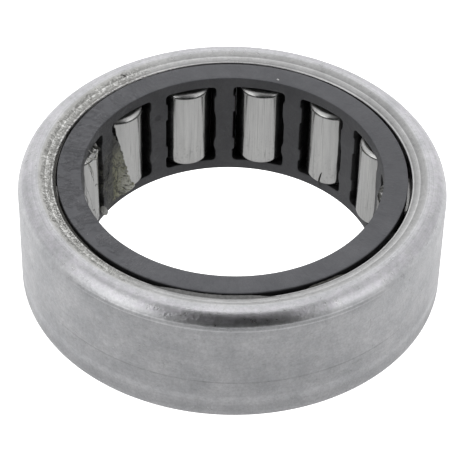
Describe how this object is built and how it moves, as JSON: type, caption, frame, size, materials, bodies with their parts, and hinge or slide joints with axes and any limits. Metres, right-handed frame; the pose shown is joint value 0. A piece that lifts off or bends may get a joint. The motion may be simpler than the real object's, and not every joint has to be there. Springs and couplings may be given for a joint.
{
  "type": "drawn cup roller bearing",
  "caption": "Drawn steel cup roller bearing with a black moulded cage, open on both ends, that carries a shaft directly on its rollers.",
  "frame": {"origin": "centre of the lower end face, on the bearing axis", "axes": "+Z along the bearing axis towards the upper end face, +X to the right and +Y away from a viewer in front"},
  "size_m": [0.062, 0.062, 0.019],
  "materials": {
    "tumbled_steel": "satin, tumbled, with fine turned lines on the end land",
    "black_polyamide": "satin moulded black polyamide",
    "roller_steel": "superfinished bearing steel"
  },
  "bodies": {
    "cup_body": {"outer_cup": "tumbled_steel"},
    "cage_body": {"cage": "black_polyamide"},
    "roller_01_body": {"roller_01": "roller_steel"},
    "roller_02_body": {"roller_02": "roller_steel"},
    "roller_03_body": {"roller_03": "roller_steel"},
    "roller_04_body": {"roller_04": "roller_steel"},
    "roller_05_body": {"roller_05": "roller_steel"},
    "roller_06_body": {"roller_06": "roller_steel"},
    "roller_07_body": {"roller_07": "roller_steel"},
    "roller_08_body": {"roller_08": "roller_steel"},
    "roller_09_body": {"roller_09": "roller_steel"},
    "roller_10_body": {"roller_10": "roller_steel"},
    "roller_11_body": {"roller_11": "roller_steel"},
    "roller_12_body": {"roller_12": "roller_steel"},
    "roller_13_body": {"roller_13": "roller_steel"}
  },
  "joints": [
    {"name": "cage_spin", "type": "hinge", "parent": "cup_body", "child": "cage_body", "pos_m": [0, 0, 0.0098], "axis": [0, 0, 1], "continuous": true},
    {"name": "roller_01_spin", "type": "hinge", "parent": "cage_body", "child": "roller_01_body", "pos_m": [0.00434, 0.02462, 0.00958], "axis": [0, 0, 1], "continuous": true},
    {"name": "roller_02_spin", "type": "hinge", "parent": "cage_body", "child": "roller_02_body", "pos_m": [-0.0076, 0.02382, 0.00958], "axis": [0, 0, 1], "continuous": true},
    {"name": "roller_03_spin", "type": "hinge", "parent": "cage_body", "child": "roller_03_body", "pos_m": [-0.0178, 0.01756, 0.00958], "axis": [0, 0, 1], "continuous": true},
    {"name": "roller_04_spin", "type": "hinge", "parent": "cage_body", "child": "roller_04_body", "pos_m": [-0.02392, 0.00728, 0.00958], "axis": [0, 0, 1], "continuous": true},
    {"name": "roller_05_spin", "type": "hinge", "parent": "cage_body", "child": "roller_05_body", "pos_m": [-0.02456, -0.00467, 0.00958], "axis": [0, 0, 1], "continuous": true},
    {"name": "roller_06_spin", "type": "hinge", "parent": "cage_body", "child": "roller_06_body", "pos_m": [-0.01958, -0.01555, 0.00958], "axis": [0, 0, 1], "continuous": true},
    {"name": "roller_07_spin", "type": "hinge", "parent": "cage_body", "child": "roller_07_body", "pos_m": [-0.01011, -0.02287, 0.00958], "axis": [0, 0, 1], "continuous": true},
    {"name": "roller_08_spin", "type": "hinge", "parent": "cage_body", "child": "roller_08_body", "pos_m": [0.00168, -0.02494, 0.00958], "axis": [0, 0, 1], "continuous": true},
    {"name": "roller_09_spin", "type": "hinge", "parent": "cage_body", "child": "roller_09_body", "pos_m": [0.01308, -0.02131, 0.00958], "axis": [0, 0, 1], "continuous": true},
    {"name": "roller_10_spin", "type": "hinge", "parent": "cage_body", "child": "roller_10_body", "pos_m": [0.02148, -0.01279, 0.00958], "axis": [0, 0, 1], "continuous": true},
    {"name": "roller_11_spin", "type": "hinge", "parent": "cage_body", "child": "roller_11_body", "pos_m": [0.02496, -0.00134, 0.00958], "axis": [0, 0, 1], "continuous": true},
    {"name": "roller_12_spin", "type": "hinge", "parent": "cage_body", "child": "roller_12_body", "pos_m": [0.02273, 0.01041, 0.00958], "axis": [0, 0, 1], "continuous": true},
    {"name": "roller_13_spin", "type": "hinge", "parent": "cage_body", "child": "roller_13_body", "pos_m": [0.01529, 0.01978, 0.00958], "axis": [0, 0, 1], "continuous": true}
  ],
  "couplings": [
    {"joint": "roller_01_spin", "follows": "cage_spin", "ratio": -7.25},
    {"joint": "roller_02_spin", "follows": "cage_spin", "ratio": -7.25},
    {"joint": "roller_03_spin", "follows": "cage_spin", "ratio": -7.25},
    {"joint": "roller_04_spin", "follows": "cage_spin", "ratio": -7.25},
    {"joint": "roller_05_spin", "follows": "cage_spin", "ratio": -7.25},
    {"joint": "roller_06_spin", "follows": "cage_spin", "ratio": -7.25},
    {"joint": "roller_07_spin", "follows": "cage_spin", "ratio": -7.25},
    {"joint": "roller_08_spin", "follows": "cage_spin", "ratio": -7.25},
    {"joint": "roller_09_spin", "follows": "cage_spin", "ratio": -7.25},
    {"joint": "roller_10_spin", "follows": "cage_spin", "ratio": -7.25},
    {"joint": "roller_11_spin", "follows": "cage_spin", "ratio": -7.25},
    {"joint": "roller_12_spin", "follows": "cage_spin", "ratio": -7.25},
    {"joint": "roller_13_spin", "follows": "cage_spin", "ratio": -7.25}
  ]
}
